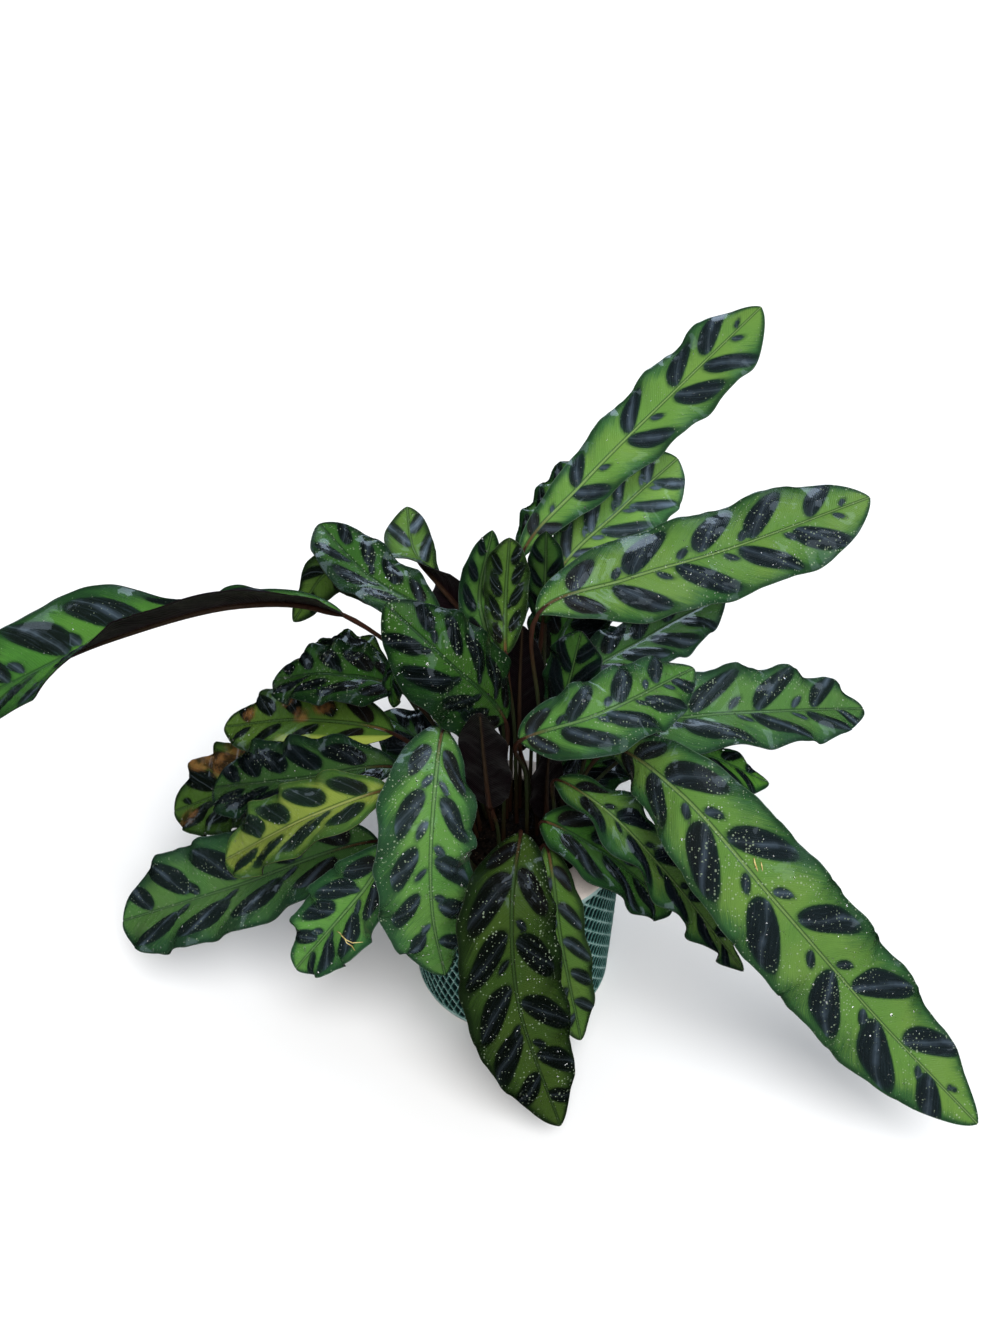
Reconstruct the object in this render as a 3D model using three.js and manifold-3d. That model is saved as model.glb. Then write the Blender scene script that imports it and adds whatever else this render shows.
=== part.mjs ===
// Potted rattlesnake plant: wavy, spotted leaves on thin stalks, in a round pot of glazed ceramic.
// Millimetres, +Z up. The origin is the centre of the pot's flat foot. +X is to the right and -Y to the
// front, where the long leaves arch over the rim.
import * as THREE from 'three';
import { mergeVertices } from 'three/addons/utils/BufferGeometryUtils.js';
import Module from 'manifold-3d';

const wasm = await Module();
wasm.setup();

// Pot: a slightly flared wall with a flat foot, and a smooth collar that slopes in to the mouth.
const POT_HEIGHT = 116;
const POT_FOOT_RADIUS = 60;
const POT_TOP_RADIUS = 64;
const FOOT_ROUNDING = 4;
const BELLY = 0.5;
const SHOULDER_ROUNDING = 3;
const COLLAR_RISE = 4;
const MOUTH_RADIUS = 45;
const LIP_ROUNDING = 1;
const WALL = 5;
const FLOOR = 7;
const POT_SIDES = 48;
const FOOT_EDGE_SHARE = 0.3;

// Soil: fills the pot to just under its collar. Each stalk stands in a plain hole of its own.
const SOIL_TOP = 102;
const SEAT_GAP = 0.3;
const HOLE_DEPTH = 14;
const HOLE_GAP = 0.4;
const HOLE_SIDES = 6;

// Leaves: a round stalk, bent where these shares of its way out and up are done, opens into a thin blade.
const STALK_RADIUS = 1.7;
const STALK_STEPS = 7;
const BEND_OUT = 0.3;
const BEND_UP = 0.6;
const BLADE_THICKNESS = 1.0;
const RIB_DEPTH = 1.5;
const BLADE_STEP = 10;
const SPINE_SAMPLES = 300;
const RING_CORNERS = 6;

// Blade outline: how full its swell and its tip are, and the blunt tip's width as a share of the widest.
const SWELL_POWER = 0.65;
const TIP_POWER = 0.65;
const BLUNT_TIP = 0.035;
const JUST_UNDER_ONE = 0.999;

// Waves: the shares of the blade at its base and tip where they die out, and the right edge's lag.
const CALM_AT_BASE = 0.2;
const CALM_AT_TIP = 0.15;
const RIGHT_EDGE_LAG = 2;

// Corners nearer to each other than this are one corner.
const WELD_DISTANCE = 1e-4;

// Main colour of each leaf's upper side, and the underside of a leaf that turns its back to the front.
const BRIGHT_GREEN = '#6a9a35';
const YELLOW_GREEN = '#8ba444';
const MID_GREEN = '#4a8435';
const BLUISH_GREEN = '#4c7a4c';
const DEEP_GREEN = '#2f6a2e';
const OLIVE = '#56682f';
const MAROON = '#3f1a26';
const POT_GLAZE = '#4f7d72';
const SOIL_BROWN = '#1d1712';

// What a leaf has unless its row says otherwise. roll: turn about the midrib, in degrees, at even stops from
// base to tip, positive with the right edge up as seen from the base. fold: how far the two halves rise at
// such stops, in degrees. shape: the shares of the blade where it is first full and where it begins to narrow
// to its tip. wave: height and number of the waves along each edge. phase: where in its wave the base begins.
const USUAL_LEAF = { roll: [0, 0], fold: [-6, -6], shape: [0.35, 0.6], wave: [3, 4], phase: 0 };

// foot: where the stalk stands, [x, y]. blade: points on its midrib, from base to tip. width: the full width.
const LEAVES = [
  {
    name: 'leaf_tall_right', color: BRIGHT_GREEN, width: 44, foot: [4, 32],
    blade: [[3, 62, 262], [38, 90, 294], [90, 125, 333], [137, 150, 371]],
    roll: [-42, -14], fold: [-12, -12], shape: [0.8, 0.82], wave: [4, 5],
  },
  {
    name: 'leaf_back_right', color: BRIGHT_GREEN, width: 47, foot: [14, 26],
    blade: [[24, 85, 233], [64, 117, 262], [98, 147, 278]],
    roll: [-20, -38], fold: [0, 0], shape: [0.5, 0.75], wave: [3, 5], phase: 1,
  },
  {
    name: 'leaf_right_upper', color: BRIGHT_GREEN, width: 56, foot: [14, 8],
    blade: [[12, 18, 256], [62, 50, 257], [120, 75, 260], [207, 115, 270]],
    roll: [-28, -28], fold: [-8, -8], shape: [0.4, 0.75], phase: 2,
  },
  {
    name: 'leaf_right_under', color: BLUISH_GREEN, width: 44, foot: [24, 12],
    blade: [[36, 39, 190], [80, 74, 200], [128, 107, 206]],
    roll: [-8, -8], fold: [-10, -10],
  },
  {
    name: 'leaf_right_middle', color: MID_GREEN, width: 44, foot: [8, -4],
    blade: [[2, -37, 215], [40, -37, 232], [99, 24, 215]],
    roll: [-20, -20],
  },
  {
    name: 'leaf_right_long', color: BLUISH_GREEN, width: 55, foot: [32, 0],
    blade: [[49, 22, 170], [101, 17, 186], [159, 34, 176], [213, 67, 150]],
    roll: [-18, -22], fold: [16, 16], shape: [0.35, 0.5], wave: [4, 5],
  },
  {
    name: 'leaf_front_right_big', color: BRIGHT_GREEN, width: 60, foot: [28, -10],
    blade: [[50, -18, 192], [80, -76, 216], [128, -114, 176], [190, -124, 97], [242, -152, 50]],
    roll: [-48, -26], fold: [-12, -12], shape: [0.5, 0.72], wave: [5, 7],
  },
  {
    name: 'leaf_right_small', color: DEEP_GREEN, width: 34, foot: [26, 6],
    blade: [[80, 34, 150], [112, 27, 148], [154, 33, 120]],
    wave: [2, 3],
  },
  {
    name: 'leaf_front_right_low', color: BRIGHT_GREEN, width: 40, foot: [22, -18],
    blade: [[22, -32, 183], [47, -54, 182], [75, -70, 158], [126, -80, 85]],
    roll: [2, 2], fold: [5, 5], shape: [0.35, 0.45], wave: [4, 5],
  },
  {
    name: 'leaf_front_right_dark', color: DEEP_GREEN, width: 48, foot: [20, -28],
    blade: [[15, -29, 149], [47, -45, 142], [90, -43, 94]],
    roll: [-10, -10], fold: [12, 12],
  },
  {
    name: 'leaf_front', color: OLIVE, width: 57, foot: [0, -36],
    blade: [[3, -53, 165], [-2, -96, 160], [1, -117, 108], [25, -134, 20]],
    roll: [6, 6], fold: [-12, -12], shape: [0.4, 0.55], wave: [3, 5],
  },
  {
    name: 'leaf_front_narrow', color: OLIVE, width: 32, foot: [10, -37],
    blade: [[17, -43, 145], [25, -76, 106], [38, -89, 35]],
    wave: [2, 4],
  },
  {
    name: 'leaf_front_left', color: MID_GREEN, width: 55, foot: [-26, -30],
    blade: [[-37, -27, 216], [-42, -83, 197], [-43, -92, 148], [-38, -87, 90]],
    roll: [25, 25], fold: [-16, -16], wave: [4, 5],
  },
  {
    name: 'leaf_left_front_small', color: MID_GREEN, width: 46, foot: [-18, -32],
    blade: [[-61, -61, 162], [-82, -71, 137], [-123, -68, 72]],
    roll: [40, 40], fold: [12, 12], shape: [0.45, 0.5], wave: [4, 4],
  },
  {
    name: 'leaf_left_low', color: BLUISH_GREEN, width: 66, foot: [-22, -20],
    blade: [[-76, -30, 135], [-165, -23, 89], [-242, -2, 36]],
    roll: [28, 28], fold: [16, 16], shape: [0.4, 0.7], wave: [3, 5],
  },
  {
    name: 'leaf_left_yellow', color: YELLOW_GREEN, width: 43, foot: [-30, -8],
    blade: [[-64, -57, 200], [-102, -65, 190], [-157, -49, 140]],
    roll: [20, 20], fold: [12, 12], shape: [0.4, 0.7],
  },
  {
    name: 'leaf_left_dark', color: BLUISH_GREEN, width: 50, foot: [-22, -2],
    blade: [[-65, -10, 172], [-117, -19, 172], [-173, 8, 140]],
    roll: [14, 14], fold: [14, 14], shape: [0.45, 0.7],
  },
  {
    name: 'leaf_left_brown_edge', color: OLIVE, width: 60, foot: [-28, 2],
    blade: [[-76, 20, 146], [-164, 40, 110], [-214, 51, 79]],
    roll: [32, 32], fold: [14, 14], shape: [0.4, 0.7], wave: [5, 7],
  },
  {
    name: 'leaf_left_spotted', color: OLIVE, width: 44, foot: [-28, 10],
    blade: [[-68, 16, 174], [-118, 35, 168], [-180, 76, 128]],
    roll: [28, 28], fold: [6, 6],
  },
  {
    name: 'leaf_left_upper', color: DEEP_GREEN, width: 44, foot: [-22, 6],
    blade: [[-64, 24, 200], [-101, 31, 205], [-141, 58, 180]],
    roll: [15, 15], fold: [6, 6],
  },
  {
    name: 'leaf_left_olive', color: OLIVE, width: 46, foot: [-28, 20],
    blade: [[-78, 87, 162], [-110, 100, 170], [-146, 114, 144]],
  },
  {
    name: 'leaf_left_long', color: DEEP_GREEN, width: 66, foot: [-12, 12],
    blade: [[-89, 5, 265], [-133, -30, 297], [-192, -50, 291], [-254, -46, 257], [-284, -37, 241]],
    roll: [-8, -38, -33, -24, 10, 22, 24], fold: [12, 11, 7, 25, 17, 30, 30],
    shape: [0.45, 0.6], wave: [3, 3], phase: 1.5,
  },
  {
    name: 'leaf_upper_left', color: DEEP_GREEN, width: 41, foot: [-12, 24],
    blade: [[-40, 15, 253], [-79, 40, 266], [-107, 68, 281]],
    fold: [6, 6], shape: [0.45, 0.7], wave: [2, 3],
  },
  {
    name: 'leaf_centre_left', color: DEEP_GREEN, width: 54, foot: [-6, 0],
    blade: [[-5, -4, 200], [-35, -29, 262], [-65, -13, 285]],
    roll: [48, 48], fold: [-10, -10],
  },
  {
    name: 'leaf_back_olive', color: OLIVE, width: 36, foot: [-18, 30],
    blade: [[-25, 50, 226], [-42, 62, 246], [-57, 80, 256], [-61, 98, 274]],
    roll: [-130, -100, -10, 20], shape: [0.5, 0.6], wave: [3, 2],
  },
  {
    name: 'leaf_back_left', color: OLIVE, width: 26, foot: [-22, 30],
    blade: [[-65, 60, 229], [-103, 80, 243], [-129, 75, 210]],
    roll: [60, 60], wave: [2, 3],
  },
  {
    name: 'leaf_back_middle', color: DEEP_GREEN, width: 30, foot: [-2, 28],
    blade: [[5, 85, 250], [22, 110, 267], [44, 142, 284]],
    shape: [0.4, 0.65],
  },
  {
    name: 'leaf_back_low_left', color: BLUISH_GREEN, width: 46, foot: [-12, 30],
    blade: [[-46, 84, 148], [-76, 122, 142], [-104, 158, 104]],
    roll: [-10, -10], shape: [0.4, 0.65],
  },
  {
    name: 'leaf_back_low_middle', color: MID_GREEN, width: 50, foot: [-6, 38],
    blade: [[-8, 84, 182], [-10, 122, 188], [-18, 168, 150], [-22, 190, 108]],
    fold: [8, 8], shape: [0.4, 0.65], wave: [4, 5], phase: 1,
  },
  {
    name: 'leaf_back_low_right', color: BLUISH_GREEN, width: 46, foot: [20, 32],
    blade: [[48, 86, 160], [78, 122, 164], [110, 160, 128]],
    roll: [10, 10], shape: [0.4, 0.65], phase: 2,
  },
  {
    name: 'leaf_back_inner', color: DEEP_GREEN, width: 50, foot: [15, 36],
    blade: [[22, 74, 178], [40, 106, 200], [62, 142, 194]],
    shape: [0.3, 0.65], phase: 1,
  },
  {
    name: 'leaf_upright_left', color: MID_GREEN, width: 23, foot: [-4, 22],
    blade: [[-13, 15, 235], [-19, 32, 257], [-12, 44, 292]],
    shape: [0.35, 0.5], wave: [3, 3], phase: 1,
  },
  {
    name: 'leaf_upright_right', color: OLIVE, width: 24, foot: [2, 18],
    blade: [[-5, 10, 235], [-5, 25, 260], [-3, 32, 295]],
    shape: [0.5, 0.7], wave: [4, 3], phase: 3,
  },
  {
    name: 'leaf_centre_dark', color: MID_GREEN, width: 21, foot: [10, 38],
    blade: [[16, 50, 226], [17, 53, 254], [17, 56, 284]],
    wave: [2, 3],
  },
  {
    name: 'leaf_centre_right', color: MID_GREEN, width: 36, foot: [20, 20],
    blade: [[25, 9, 190], [31, 15, 218], [36, 22, 242]],
    wave: [2, 3],
  },
  {
    name: 'leaf_centre_tall', color: MAROON, width: 28, foot: [10, 31],
    blade: [[4, 28, 150], [3, 28, 195], [4, 27, 242]],
    wave: [1, 3],
  },
  {
    name: 'leaf_centre_short', color: MAROON, width: 20, foot: [18, -1],
    blade: [[18, -2, 125], [18, -2, 150], [19, -4, 180]],
    wave: [1, 3],
  },
  {
    name: 'leaf_centre_low', color: DEEP_GREEN, width: 42, foot: [30, 22],
    blade: [[28, 26, 118], [48, 36, 132], [74, 50, 128]],
    wave: [2, 3],
  },
  {
    name: 'leaf_centre_shadow', color: MAROON, width: 28, foot: [-8, -16],
    blade: [[-13, -24, 155], [-16, -33, 197], [-18, -42, 238]],
    wave: [2, 3],
  },
  {
    name: 'leaf_left_shadow', color: DEEP_GREEN, width: 44, foot: [-16, 22],
    blade: [[-40, 24, 140], [-58, 34, 156], [-78, 46, 164]],
    wave: [2, 3],
  },
  {
    name: 'leaf_left_inner', color: DEEP_GREEN, width: 16, foot: [-20, 12],
    blade: [[-57, 22, 226], [-66, 16, 218], [-67, 12, 197]],
    wave: [1, 3],
  },
];

// The geometry with its doubled corners welded and its empty triangles left out.
function closedGeometry(geometry) {
  geometry.deleteAttribute('normal');
  geometry.deleteAttribute('uv');
  const welded = mergeVertices(geometry, WELD_DISTANCE);
  const kept = [];
  for (let i = 0; i < welded.index.count; i += 3) {
    const corners = [welded.index.getX(i), welded.index.getX(i + 1), welded.index.getX(i + 2)];
    if (new Set(corners).size === 3) kept.push(...corners);
  }
  welded.setIndex(kept);
  return welded;
}

function toSolid(geometry) {
  const vertProperties = new Float32Array(geometry.attributes.position.array);
  const triVerts = new Uint32Array(geometry.index.array);
  return new wasm.Manifold(new wasm.Mesh({ numProp: 3, vertProperties, triVerts }));
}

function toGeometry(solid) {
  const { vertProperties, triVerts } = solid.getMesh();
  const geometry = new THREE.BufferGeometry();
  geometry.setAttribute('position', new THREE.BufferAttribute(vertProperties, 3));
  geometry.setIndex(Array.from(triVerts));
  return geometry;
}

// Turns an outline of [radius, height] points about the vertical axis.
function turned(outline) {
  const points = outline.map(([radius, height]) => new THREE.Vector2(radius, height));
  return closedGeometry(new THREE.LatheGeometry(points, POT_SIDES).rotateX(Math.PI / 2));
}

function potWallRadius(height) {
  return THREE.MathUtils.lerp(POT_FOOT_RADIUS, POT_TOP_RADIUS, height / (POT_HEIGHT - COLLAR_RISE));
}

function potGeometry() {
  const shoulder = POT_HEIGHT - COLLAR_RISE;
  const edge = FOOT_EDGE_SHARE * FOOT_ROUNDING;
  return turned([
    [0, 0],
    [POT_FOOT_RADIUS - FOOT_ROUNDING, 0],
    [POT_FOOT_RADIUS - edge, edge],
    [potWallRadius(FOOT_ROUNDING), FOOT_ROUNDING],
    [potWallRadius(shoulder / 2) + BELLY, shoulder / 2],
    [POT_TOP_RADIUS, shoulder - SHOULDER_ROUNDING],
    [POT_TOP_RADIUS - LIP_ROUNDING, shoulder],
    [MOUTH_RADIUS + 2 * LIP_ROUNDING, POT_HEIGHT],
    [MOUTH_RADIUS, POT_HEIGHT - LIP_ROUNDING],
    [MOUTH_RADIUS, POT_HEIGHT - WALL],
    [POT_TOP_RADIUS - WALL, shoulder - WALL],
    [potWallRadius(FLOOR) - WALL, FLOOR],
    [0, FLOOR],
  ]);
}

function soilGeometry() {
  const bottom = FLOOR + SEAT_GAP;
  const radiusAt = (height) => potWallRadius(height) - WALL - SEAT_GAP;
  const outline = [[0, bottom], [radiusAt(bottom), bottom], [radiusAt(SOIL_TOP), SOIL_TOP], [0, SOIL_TOP]];
  let soil = toSolid(turned(outline));
  const holeRadius = STALK_RADIUS + HOLE_GAP;
  for (const { foot } of LEAVES) {
    const hole = new THREE.CylinderGeometry(holeRadius, holeRadius, 2 * HOLE_DEPTH, HOLE_SIDES);
    hole.rotateX(Math.PI / 2);
    hole.translate(foot[0], foot[1], SOIL_TOP);
    soil = soil.subtract(toSolid(closedGeometry(hole)));
  }
  return toGeometry(soil);
}

// The leaf's spine from its foot to its tip, sampled finely, with the length at which the blade begins.
function leafSpine({ foot: [x, y], blade }) {
  const bladePoints = blade.map((point) => new THREE.Vector3(...point));
  const bottom = new THREE.Vector3(x, y, SOIL_TOP - HOLE_DEPTH + SEAT_GAP);
  const surface = new THREE.Vector3(x, y, SOIL_TOP + 1);
  const base = bladePoints[0];
  const bend = new THREE.Vector3(
    THREE.MathUtils.lerp(x, base.x, BEND_OUT),
    THREE.MathUtils.lerp(y, base.y, BEND_OUT),
    THREE.MathUtils.lerp(SOIL_TOP, base.z, BEND_UP),
  );
  const curve = new THREE.CatmullRomCurve3([surface, bend, ...bladePoints], false, 'centripetal');
  const samples = [bottom, ...curve.getPoints(SPINE_SAMPLES)];
  const lengths = [0];
  for (let i = 1; i < samples.length; i++) {
    lengths.push(lengths[i - 1] + samples[i].distanceTo(samples[i - 1]));
  }
  const stalkSamples = Math.round((SPINE_SAMPLES * 2) / (bladePoints.length + 1));
  return { samples, lengths, total: lengths.at(-1), bladeStart: lengths[1 + stalkSamples] };
}

function pointAtLength({ samples, lengths }, length) {
  const last = lengths.length - 1;
  let i = 1;
  while (i < last && lengths[i] < length) i++;
  return samples[i - 1].clone().lerp(samples[i], (length - lengths[i - 1]) / (lengths[i] - lengths[i - 1]));
}

function directionAtLength(spine, length) {
  const reach = 2;
  const ahead = pointAtLength(spine, Math.min(spine.total, length + reach));
  return ahead.sub(pointAtLength(spine, Math.max(0, length - reach))).normalize();
}

// The value at a share of the way through a list of evenly spaced stops.
function alongStops(stops, share) {
  const place = share * (stops.length - 1);
  const i = Math.min(Math.floor(place), stops.length - 2);
  return THREE.MathUtils.lerp(stops[i], stops[i + 1], place - i);
}

// Half the blade's width as a share of its widest: a quick swell, long even sides and a pointed tip.
function bladeOutline([full, narrows], share) {
  const swelling = Math.min(1, share / full);
  const narrowing = THREE.MathUtils.clamp((share - narrows) / (1 - narrows), 0, JUST_UNDER_ONE);
  const swell = Math.sin((Math.PI / 2) * swelling) ** SWELL_POWER;
  const taper = Math.cos((Math.PI / 2) * narrowing) ** TIP_POWER;
  return Math.max(BLUNT_TIP, swell * taper);
}

// A stalk's hexagon in the same order as a blade's section: left, top, right and the same three below.
function stalkSection() {
  const across = STALK_RADIUS * Math.cos(Math.PI / 6);
  const up = STALK_RADIUS / 2;
  return [[-across, up], [0, STALK_RADIUS], [across, up], [across, -up], [0, -STALK_RADIUS], [-across, -up]];
}

// A blade's section as [across, up] corners: left edge, rib and right edge on top, and the same three below.
function bladeSection(leaf, share) {
  const half = (leaf.width / 2) * bladeOutline(leaf.shape, share);
  const fold = THREE.MathUtils.degToRad(alongStops(leaf.fold, share));
  const [waveHeight, waveCount] = leaf.wave;
  const calm = Math.min(1, share / CALM_AT_BASE, (1 - share) / CALM_AT_TIP);
  const turn = 2 * Math.PI * waveCount * share + leaf.phase;
  const left = half * Math.sin(fold) + waveHeight * calm * Math.sin(turn);
  const right = half * Math.sin(fold) + waveHeight * calm * Math.sin(turn + RIGHT_EDGE_LAG);
  const across = half * Math.cos(fold);
  const thick = BLADE_THICKNESS / 2;
  const rib = thick + RIB_DEPTH * (1 - share);
  return [
    [-across, left + thick], [0, thick], [across, right + thick],
    [across, right - thick], [0, -rib], [-across, left - thick],
  ];
}

// The corners of the section at a length along the spine, in space.
function sectionCorners(leaf, spine, length) {
  const share = Math.max(0, (length - spine.bladeStart) / (spine.total - spine.bladeStart));
  const center = pointAtLength(spine, length);
  const direction = directionAtLength(spine, length);
  const [base, tip] = [leaf.blade[0], leaf.blade.at(-1)];
  const heading = new THREE.Vector3(tip[0] - base[0], tip[1] - base[1], 0).normalize();
  const side = new THREE.Vector3(heading.y, -heading.x, 0);
  side.addScaledVector(direction, -side.dot(direction)).normalize();
  side.applyAxisAngle(direction, -THREE.MathUtils.degToRad(alongStops(leaf.roll, share)));
  const normal = side.clone().cross(direction);
  const section = share > 0 ? bladeSection(leaf, share) : stalkSection();
  const place = ([across, up]) => center.clone().addScaledVector(side, across).addScaledVector(normal, up);
  return section.map(place);
}

// Lengths along the spine at which the leaf has a section.
function sectionStops(spine) {
  const stops = [0];
  for (let i = 0; i < STALK_STEPS; i++) {
    stops.push(THREE.MathUtils.lerp(HOLE_DEPTH, spine.bladeStart, i / (STALK_STEPS - 1)));
  }
  const bladeLength = spine.total - spine.bladeStart;
  const bladeSteps = Math.round(bladeLength / BLADE_STEP);
  for (let i = 1; i <= bladeSteps; i++) stops.push(spine.bladeStart + (bladeLength * i) / bladeSteps);
  return stops;
}

function leafGeometry(leaf) {
  const spine = leafSpine(leaf);
  const rings = sectionStops(spine).map((length) => sectionCorners(leaf, spine, length));
  const faces = [];
  for (let start = 0; start < (rings.length - 1) * RING_CORNERS; start += RING_CORNERS) {
    for (let corner = 0; corner < RING_CORNERS; corner++) {
      const next = (corner + 1) % RING_CORNERS;
      const [a, b] = [start + corner, start + next];
      const [c, d] = [b + RING_CORNERS, a + RING_CORNERS];
      // The lower faces are split the other way round, so that both sides of the blade bend alike.
      if (corner === 3 || corner === 4) faces.push(a, b, d, b, c, d);
      else faces.push(a, b, c, a, c, d);
    }
  }
  const end = (rings.length - 1) * RING_CORNERS;
  for (let corner = 1; corner < RING_CORNERS - 1; corner++) {
    faces.push(0, corner + 1, corner, end, end + corner, end + corner + 1);
  }
  const geometry = new THREE.BufferGeometry();
  geometry.setFromPoints(rings.flat());
  geometry.setIndex(faces);
  return geometry;
}

function addPiece(group, name, geometry, finish) {
  const mesh = new THREE.Mesh(geometry, new THREE.MeshStandardMaterial({ metalness: 0, ...finish }));
  mesh.name = name;
  group.add(mesh);
}

const plant = new THREE.Group();
addPiece(plant, 'pot', potGeometry(), { color: POT_GLAZE, roughness: 0.25 });
addPiece(plant, 'soil', soilGeometry(), { color: SOIL_BROWN, roughness: 0.95 });
for (const row of LEAVES) {
  const leaf = { ...USUAL_LEAF, ...row };
  addPiece(plant, leaf.name, leafGeometry(leaf), { color: leaf.color, roughness: 0.35 });
}

export default plant;
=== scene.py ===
import math

import bpy
import numpy as np
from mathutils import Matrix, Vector


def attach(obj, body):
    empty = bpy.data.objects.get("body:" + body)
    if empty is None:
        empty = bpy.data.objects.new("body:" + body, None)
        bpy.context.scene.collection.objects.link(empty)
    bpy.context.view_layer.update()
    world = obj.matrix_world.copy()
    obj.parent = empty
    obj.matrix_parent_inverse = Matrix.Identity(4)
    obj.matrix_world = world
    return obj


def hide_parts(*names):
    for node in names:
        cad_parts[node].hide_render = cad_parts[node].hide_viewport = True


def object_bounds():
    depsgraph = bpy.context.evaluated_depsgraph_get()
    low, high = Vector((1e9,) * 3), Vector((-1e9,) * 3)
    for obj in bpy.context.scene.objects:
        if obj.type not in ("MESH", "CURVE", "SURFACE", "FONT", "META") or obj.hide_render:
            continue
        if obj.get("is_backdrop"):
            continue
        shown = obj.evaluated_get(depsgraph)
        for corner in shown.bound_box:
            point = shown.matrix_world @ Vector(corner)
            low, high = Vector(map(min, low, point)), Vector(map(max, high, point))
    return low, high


# Potted rattlesnake plant. Its leaves follow the same rows and formulas as the CAD model's, in millimetres.
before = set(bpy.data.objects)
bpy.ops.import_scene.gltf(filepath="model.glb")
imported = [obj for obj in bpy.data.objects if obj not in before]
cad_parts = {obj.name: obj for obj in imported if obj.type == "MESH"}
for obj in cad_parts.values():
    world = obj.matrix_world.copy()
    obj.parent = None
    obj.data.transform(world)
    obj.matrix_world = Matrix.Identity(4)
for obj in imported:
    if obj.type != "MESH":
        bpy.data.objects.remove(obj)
cad_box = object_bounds()

MM = 0.001
FULL_TURN = 2 * np.pi


def table(text):
    """Rows of numbers, from a text with a comma between rows."""
    return [[float(number) for number in row.split()] for row in text.split(",")]


# The pot's wall, and its turned outline as (radius, height): the foot, and then the collar and the inside.
FOOT_RADIUS = 60
TOP_RADIUS = 64
SHOULDER = 112
BELLY = 0.5
FOOT_OUTLINE = table("1 0, 30 0, 55 0, 56.5 0.15, 58 0.6, 58.9 1.3, 59.6 2.4")
COLLAR_OUTLINE = table(
    "63.9 107.6, 64 108.4, 63.9 109.4, 63.7 110.4, 63.3 111.3, 62.7 112, 61.5 112.5, 59 113.2, 56 114,"
    "53 114.7, 50 115.4, 48 115.8, 46.8 115.9, 45.8 115.7, 45.2 115.2, 45 114.4, 45 111.5, 48 109.5,"
    "54 108.3, 58 107.2, 58.8 105, 58.6 96, 56 8, 54 7, 20 7, 1 7"
)

# Lattice pressed into the pot: steep broad bands wind down to the right and narrow ribs climb across them.
LATTICE_BOTTOM = 5
LATTICE_TOP = 107.5
LATTICE_FADE = 1.5
LATTICE_DEPTH = 1.0
LATTICE_STEP = 0.95
RIBS_ROUND = 86
STEPS_PER_RIB = 5
RIB_LEAN = 0.38
RIB_HEIGHT = 0.72
BANDS_ROUND = 42
BAND_RISE = 10.5
BAND_HALF_WIDTH = 1.45

# Soil, and the loose crumbs of bark on it.
SOIL_TOP = 102
SOIL_UNDERSIDE = 92
SOIL_RADIUS = 57.8
SOIL_LUMPS = 420
CRUMBS = 260
CRUMB_CORNERS = ((1, 0, 0), (-1, 0, 0), (0, 1, 0), (0, -1, 0), (0, 0, 1), (0, 0, -1))
CRUMB_FACES = ((0, 2, 4), (2, 1, 4), (1, 3, 4), (3, 0, 4), (2, 0, 5), (1, 2, 5), (3, 1, 5), (0, 3, 5))

# The line that a leaf follows, and its stalk, which is thicker at the soil and just below the blade.
HOLE_DEPTH = 14
BEND_OUT = 0.3
BEND_UP = 0.6
SPINE_SAMPLES = 300
STALK_CORNERS = 10
STALK_RADIUS = 1.15
SHEATH, SHEATH_LENGTH = 0.45, 45
JOINT, JOINT_PLACE, JOINT_LENGTH = 0.3, 9, 6
RIB_AT_BASE, RIB_AT_TIP = 1.3, 0.3

# The blade's outline, edges and surface.
SWELL_POWER = 0.65
TIP_POWER = 0.65
BLUNT_TIP = 0.035
CALM_AT_BASE = 0.2
CALM_AT_TIP = 0.15
RIGHT_EDGE_LAG = 2
BLADE_STEP = 1.7
BLADE_TOP = 0.5
BLADE_THICKNESS = 0.5
# The edge's lesser waves are shares of the main one, and its scallops of half the blade: slow and quick.
WAVE_PACES = (2.3, 5.1)
LESSER_WAVES = (0.13, 0.03)
SCALLOPS = (0.014, 0.003)
# Side veins run out towards the tip, so much for each millimetre, and more at the edge. The surface puckers
# between them, by a height and at a spacing, and sinks along the midrib and the middles of the marks.
VEIN_LEAN = 0.62
VEIN_BEND = 0.55
PUCKER, PUCKER_SPACING = 0.24, 8.5
CROSS_PUCKER, CROSS_SPACING = 0.15, 5.3
DOME_HEIGHT = 0.15
GROOVE_DEPTH, GROOVE_WIDTH = 0.5, 0.9
# Marks and dots: how far out they are centred, half their length and half their width, as shares of half the
# blade. They are squeezed along the blade and broader at their outer end. FAR is beyond all of them.
MARK_SHAPE = (0.47, 0.41, 0.31)
DOT_SHAPE = (0.19, 0.12, 0.1)
MARK_SQUEEZE = 0.8
MARK_FLARE = 0.18
FAR = 20.0
# Columns of the blade's mesh on one half, as shares of the way from the midrib to the edge.
HALF_STOPS = np.array([0.02, 0.045, 0.08, 0.13, 0.2, 0.28, 0.36, 0.45, 0.54, 0.63, 0.72, 0.81, 0.9, 0.97, 1])
ACROSS_STOPS = np.concatenate([-HALF_STOPS[::-1], [0], HALF_STOPS])

# Standing drops of water: their size, their height as a share of their radius, and how deep they sit.
DROP_RINGS, DROP_CORNERS = 2, 6
LEAST_DROP, USUAL_DROP, LARGEST_DROP = 0.12, 0.13, 1.0
DROP_HEIGHT = 0.62
DROP_SUNK = 0.05

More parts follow.
